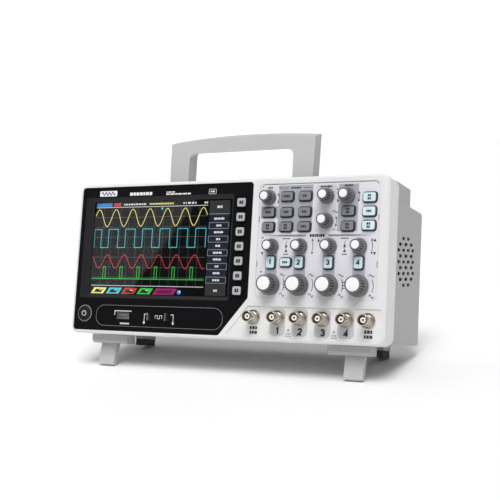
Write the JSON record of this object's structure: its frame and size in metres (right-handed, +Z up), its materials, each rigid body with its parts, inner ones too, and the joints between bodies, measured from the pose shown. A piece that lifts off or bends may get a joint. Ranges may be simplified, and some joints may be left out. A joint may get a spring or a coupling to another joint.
{
  "type": "oscilloscope",
  "caption": "Bench digital oscilloscope with colour screen, knobs and keys beside it, BNC inputs along the lower edge, carrying handle and fold-out front legs.",
  "frame": {"origin": "middle of the object's outline, on the surface that it stands on", "axes": "+X to the right as the user sees the screen, +Y towards the back, +Z up; the body leans back on its front legs"},
  "size_m": [0.318, 0.1436, 0.2136],
  "materials": {
    "bezel_white": "satin moulded, fine texture",
    "fascia_black": "semi-gloss",
    "window_clear": "polished",
    "lcd_black": "matt",
    "overlay_film": "matt printed film",
    "shell_grey": "fine spark texture",
    "bnc_nickel": "nickel plated",
    "bnc_insulator": "satin",
    "port_metal": "tin plated",
    "keypad_rubber": "matt",
    "board_green": "solder resist",
    "supply_parts": "mixed electronic parts",
    "fan_black": "satin",
    "inlet_black": "satin",
    "foot_rubber": "matt",
    "screw_steel": "zinc plated",
    "leg_grey": "fine spark texture",
    "button_dark": "satin",
    "knob_grey": "satin with ribbed grip",
    "softkey_light": "satin",
    "key_pale": "satin",
    "key_grey": "satin"
  },
  "bodies": {
    "root": {"front_bezel": "bezel_white", "screen_fascia": "fascia_black", "display_window": "window_clear", "lcd_module": "lcd_black", "control_overlay": "overlay_film", "rear_shell": "shell_grey", "bnc_shells": "bnc_nickel", "bnc_cores": "bnc_insulator", "front_ports": "port_metal", "keypad_mat": "keypad_rubber", "front_board": "board_green", "main_board": "board_green", "power_supply": "supply_parts", "fan_frame": "fan_black", "mains_inlet": "inlet_black", "rear_ports": "port_metal", "rear_feet": "foot_rubber", "case_screws": "screw_steel"},
    "fan_rotor": {"fan_rotor": "fan_black"},
    "carry_handle": {"carry_handle": "shell_grey"},
    "leg_left": {"leg_left": "leg_grey"},
    "leg_right": {"leg_right": "leg_grey"},
    "knob_general": {"knob_general": "knob_grey"},
    "knob_h_position": {"knob_h_position": "knob_grey"},
    "knob_h_scale": {"knob_h_scale": "knob_grey"},
    "knob_trigger": {"knob_trigger": "knob_grey"},
    "knob_position_1": {"knob_position_1": "knob_grey"},
    "knob_position_2": {"knob_position_2": "knob_grey"},
    "knob_position_3": {"knob_position_3": "knob_grey"},
    "knob_position_4": {"knob_position_4": "knob_grey"},
    "knob_scale_1": {"knob_scale_1": "knob_grey"},
    "knob_scale_2": {"knob_scale_2": "knob_grey"},
    "knob_scale_3": {"knob_scale_3": "knob_grey"},
    "knob_scale_4": {"knob_scale_4": "knob_grey"},
    "softkey_1": {"softkey_1": "softkey_light"},
    "softkey_2": {"softkey_2": "softkey_light"},
    "softkey_3": {"softkey_3": "softkey_light"},
    "softkey_4": {"softkey_4": "softkey_light"},
    "softkey_5": {"softkey_5": "softkey_light"},
    "softkey_6": {"softkey_6": "softkey_light"},
    "softkey_7": {"softkey_7": "softkey_light"},
    "key_menu_1": {"key_menu_1": "key_grey"},
    "key_menu_2": {"key_menu_2": "key_grey"},
    "key_menu_3": {"key_menu_3": "key_grey"},
    "key_menu_4": {"key_menu_4": "key_grey"},
    "key_menu_5": {"key_menu_5": "key_grey"},
    "key_menu_6": {"key_menu_6": "key_grey"},
    "key_menu_7": {"key_menu_7": "key_grey"},
    "key_menu_8": {"key_menu_8": "key_grey"},
    "key_trigger_menu": {"key_trigger_menu": "key_grey"},
    "key_force_trigger": {"key_force_trigger": "key_grey"},
    "key_run": {"key_run": "key_pale"},
    "key_single": {"key_single": "key_pale"},
    "key_auto": {"key_auto": "key_pale"},
    "key_math": {"key_math": "key_pale"},
    "key_channel_1": {"key_channel_1": "key_pale"},
    "key_channel_2": {"key_channel_2": "key_pale"},
    "key_channel_3": {"key_channel_3": "key_pale"},
    "key_channel_4": {"key_channel_4": "key_pale"},
    "power_button": {"power_button": "button_dark"}
  },
  "joints": [
    {"name": "knob_general_turn", "type": "hinge", "parent": "root", "child": "knob_general", "pos_m": [0.0476, -0.02828, 0.15727], "axis": [0, -0.9619, 0.2735], "continuous": true},
    {"name": "knob_h_position_turn", "type": "hinge", "parent": "root", "child": "knob_h_position", "pos_m": [0.1027, -0.02828, 0.15727], "axis": [0, -0.9619, 0.2735], "continuous": true},
    {"name": "knob_h_scale_turn", "type": "hinge", "parent": "root", "child": "knob_h_scale", "pos_m": [0.1027, -0.03421, 0.13639], "axis": [0, -0.9619, 0.2735], "continuous": true},
    {"name": "knob_trigger_turn", "type": "hinge", "parent": "root", "child": "knob_trigger", "pos_m": [0.1216, -0.02828, 0.15727], "axis": [0, -0.9619, 0.2735], "continuous": true},
    {"name": "knob_position_1_turn", "type": "hinge", "parent": "root", "child": "knob_position_1", "pos_m": [0.0526, -0.04029, 0.11504], "axis": [0, -0.9619, 0.2735], "continuous": true},
    {"name": "knob_position_2_turn", "type": "hinge", "parent": "root", "child": "knob_position_2", "pos_m": [0.0798, -0.04029, 0.11504], "axis": [0, -0.9619, 0.2735], "continuous": true},
    {"name": "knob_position_3_turn", "type": "hinge", "parent": "root", "child": "knob_position_3", "pos_m": [0.107, -0.04029, 0.11504], "axis": [0, -0.9619, 0.2735], "continuous": true},
    {"name": "knob_position_4_turn", "type": "hinge", "parent": "root", "child": "knob_position_4", "pos_m": [0.1342, -0.04029, 0.11504], "axis": [0, -0.9619, 0.2735], "continuous": true},
    {"name": "knob_scale_1_turn", "type": "hinge", "parent": "root", "child": "knob_scale_1", "pos_m": [0.0526, -0.04948, 0.08272], "axis": [0, -0.9619, 0.2735], "continuous": true},
    {"name": "knob_scale_2_turn", "type": "hinge", "parent": "root", "child": "knob_scale_2", "pos_m": [0.0798, -0.04948, 0.08272], "axis": [0, -0.9619, 0.2735], "continuous": true},
    {"name": "knob_scale_3_turn", "type": "hinge", "parent": "root", "child": "knob_scale_3", "pos_m": [0.107, -0.04948, 0.08272], "axis": [0, -0.9619, 0.2735], "continuous": true},
    {"name": "knob_scale_4_turn", "type": "hinge", "parent": "root", "child": "knob_scale_4", "pos_m": [0.1342, -0.04948, 0.08272], "axis": [0, -0.9619, 0.2735], "continuous": true},
    {"name": "softkey_1_press", "type": "slide", "parent": "root", "child": "softkey_1", "axis": [0, 0.9619, -0.2735], "range_m": [0, 0.0012], "stiffness_N_per_m": 1000},
    {"name": "softkey_2_press", "type": "slide", "parent": "root", "child": "softkey_2", "axis": [0, 0.9619, -0.2735], "range_m": [0, 0.0012], "stiffness_N_per_m": 1000},
    {"name": "softkey_3_press", "type": "slide", "parent": "root", "child": "softkey_3", "axis": [0, 0.9619, -0.2735], "range_m": [0, 0.0012], "stiffness_N_per_m": 1000},
    {"name": "softkey_4_press", "type": "slide", "parent": "root", "child": "softkey_4", "axis": [0, 0.9619, -0.2735], "range_m": [0, 0.0012], "stiffness_N_per_m": 1000},
    {"name": "softkey_5_press", "type": "slide", "parent": "root", "child": "softkey_5", "axis": [0, 0.9619, -0.2735], "range_m": [0, 0.0012], "stiffness_N_per_m": 1000},
    {"name": "softkey_6_press", "type": "slide", "parent": "root", "child": "softkey_6", "axis": [0, 0.9619, -0.2735], "range_m": [0, 0.0012], "stiffness_N_per_m": 1000},
    {"name": "softkey_7_press", "type": "slide", "parent": "root", "child": "softkey_7", "axis": [0, 0.9619, -0.2735], "range_m": [0, 0.0012], "stiffness_N_per_m": 1000},
    {"name": "key_menu_1_press", "type": "slide", "parent": "root", "child": "key_menu_1", "axis": [0, 0.9619, -0.2735], "range_m": [0, 0.0012], "stiffness_N_per_m": 1000},
    {"name": "key_menu_2_press", "type": "slide", "parent": "root", "child": "key_menu_2", "axis": [0, 0.9619, -0.2735], "range_m": [0, 0.0012], "stiffness_N_per_m": 1000},
    {"name": "key_menu_3_press", "type": "slide", "parent": "root", "child": "key_menu_3", "axis": [0, 0.9619, -0.2735], "range_m": [0, 0.0012], "stiffness_N_per_m": 1000},
    {"name": "key_menu_4_press", "type": "slide", "parent": "root", "child": "key_menu_4", "axis": [0, 0.9619, -0.2735], "range_m": [0, 0.0012], "stiffness_N_per_m": 1000},
    {"name": "key_menu_5_press", "type": "slide", "parent": "root", "child": "key_menu_5", "axis": [0, 0.9619, -0.2735], "range_m": [0, 0.0012], "stiffness_N_per_m": 1000},
    {"name": "key_menu_6_press", "type": "slide", "parent": "root", "child": "key_menu_6", "axis": [0, 0.9619, -0.2735], "range_m": [0, 0.0012], "stiffness_N_per_m": 1000},
    {"name": "key_menu_7_press", "type": "slide", "parent": "root", "child": "key_menu_7", "axis": [0, 0.9619, -0.2735], "range_m": [0, 0.0012], "stiffness_N_per_m": 1000},
    {"name": "key_menu_8_press", "type": "slide", "parent": "root", "child": "key_menu_8", "axis": [0, 0.9619, -0.2735], "range_m": [0, 0.0012], "stiffness_N_per_m": 1000},
    {"name": "key_trigger_menu_press", "type": "slide", "parent": "root", "child": "key_trigger_menu", "axis": [0, 0.9619, -0.2735], "range_m": [0, 0.0012], "stiffness_N_per_m": 1000},
    {"name": "key_force_trigger_press", "type": "slide", "parent": "root", "child": "key_force_trigger", "axis": [0, 0.9619, -0.2735], "range_m": [0, 0.0012], "stiffness_N_per_m": 1000},
    {"name": "key_run_press", "type": "slide", "parent": "root", "child": "key_run", "axis": [0, 0.9619, -0.2735], "range_m": [0, 0.0012], "stiffness_N_per_m": 1000},
    {"name": "key_single_press", "type": "slide", "parent": "root", "child": "key_single", "axis": [0, 0.9619, -0.2735], "range_m": [0, 0.0012], "stiffness_N_per_m": 1000},
    {"name": "key_auto_press", "type": "slide", "parent": "root", "child": "key_auto", "axis": [0, 0.9619, -0.2735], "range_m": [0, 0.0012], "stiffness_N_per_m": 1000},
    {"name": "key_math_press", "type": "slide", "parent": "root", "child": "key_math", "axis": [0, 0.9619, -0.2735], "range_m": [0, 0.0012], "stiffness_N_per_m": 1000},
    {"name": "key_channel_1_press", "type": "slide", "parent": "root", "child": "key_channel_1", "axis": [0, 0.9619, -0.2735], "range_m": [0, 0.0012], "stiffness_N_per_m": 1000},
    {"name": "key_channel_2_press", "type": "slide", "parent": "root", "child": "key_channel_2", "axis": [0, 0.9619, -0.2735], "range_m": [0, 0.0012], "stiffness_N_per_m": 1000},
    {"name": "key_channel_3_press", "type": "slide", "parent": "root", "child": "key_channel_3", "axis": [0, 0.9619, -0.2735], "range_m": [0, 0.0012], "stiffness_N_per_m": 1000},
    {"name": "key_channel_4_press", "type": "slide", "parent": "root", "child": "key_channel_4", "axis": [0, 0.9619, -0.2735], "range_m": [0, 0.0012], "stiffness_N_per_m": 1000},
    {"name": "power_button_press", "type": "slide", "parent": "root", "child": "power_button", "axis": [0, 0.9619, -0.2735], "range_m": [0, 0.0012], "stiffness_N_per_m": 1000},
    {"name": "carry_handle_fold", "type": "hinge", "parent": "root", "child": "carry_handle", "pos_m": [0, 0.011, 0.15462], "axis": [-1, 0, 0], "range_deg": [0, 90]},
    {"name": "leg_left_fold", "type": "hinge", "parent": "root", "child": "leg_left", "pos_m": [-0.1267, -0.04056, 0.02269], "axis": [1, 0, 0], "range_deg": [0, 101]},
    {"name": "leg_right_fold", "type": "hinge", "parent": "root", "child": "leg_right", "pos_m": [0.1267, -0.04056, 0.02269], "axis": [1, 0, 0], "range_deg": [0, 101]},
    {"name": "fan_spin", "type": "hinge", "parent": "root", "child": "fan_rotor", "pos_m": [0.147, 0.01471, 0.09275], "axis": [1, 0, 0], "continuous": true}
  ]
}
